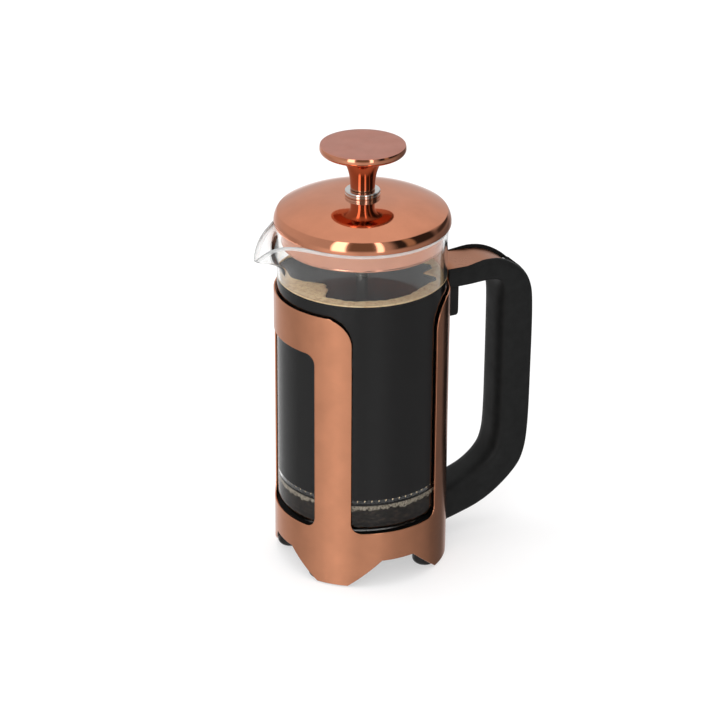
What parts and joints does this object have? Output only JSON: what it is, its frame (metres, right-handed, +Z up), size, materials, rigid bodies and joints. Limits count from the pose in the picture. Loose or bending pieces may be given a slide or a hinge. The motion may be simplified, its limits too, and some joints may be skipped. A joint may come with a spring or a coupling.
{
  "type": "french press",
  "caption": "Small coffee press: a glass beaker with a pouring lip in a rolled copper sheet frame with a D handle, a domed lid and a plunger with a disc knob.",
  "frame": {"origin": "on the table, in the middle of the object's box seen from above; the beaker's axis is at x = -14.9 mm", "axes": "+Z up along the beaker and the plunger rod, +X towards the handle, so the pouring lip points along -X"},
  "size_m": [0.1293, 0.0744, 0.1882],
  "materials": {
    "frame_copper": "copper-plated sheet, satin with a fine vertical grain",
    "lid_copper": "copper-plated sheet, polished",
    "knob_copper": "copper-plated, polished edge and satin top",
    "collar_chrome": "polished",
    "filter_steel": "bright stainless sheet",
    "filter_mesh": "fine woven stainless mesh",
    "screw_steel": "plain",
    "clear_glass": "clear borosilicate glass",
    "handle_plastic": "matte black, fine texture",
    "black_plastic": "moulded",
    "black_rubber": "smooth"
  },
  "bodies": {
    "frame": {"frame_shell": "frame_copper", "base_tray": "black_plastic", "foot_1": "black_rubber", "foot_2": "black_rubber", "foot_3": "black_rubber", "foot_4": "black_rubber", "foot_screws": "screw_steel", "handle": "handle_plastic", "strap_screw": "screw_steel", "base_screw": "screw_steel"},
    "beaker": {"beaker": "clear_glass"},
    "lid": {"lid_cover": "lid_copper", "lid_insert": "lid_copper", "lid_collar": "collar_chrome", "collar_nut": "collar_chrome"},
    "plunger": {"knob": "knob_copper", "plunger_rod": "filter_steel", "plate_nut": "filter_steel", "spiral_plate": "filter_steel", "coil_spring": "filter_steel", "mesh_screen": "filter_mesh", "cross_plate": "filter_steel", "rod_end_nut": "filter_steel"}
  },
  "joints": [
    {"name": "beaker_lift", "type": "slide", "parent": "frame", "child": "beaker", "axis": [0, 0, 1], "range_m": [0, 0.105]},
    {"name": "lid_lift", "type": "slide", "parent": "beaker", "child": "lid", "axis": [0, 0, 1], "range_m": [0, 0.125]},
    {"name": "plunger_slide", "type": "slide", "parent": "lid", "child": "plunger", "axis": [0, 0, 1], "range_m": [0, 0.103]}
  ]
}
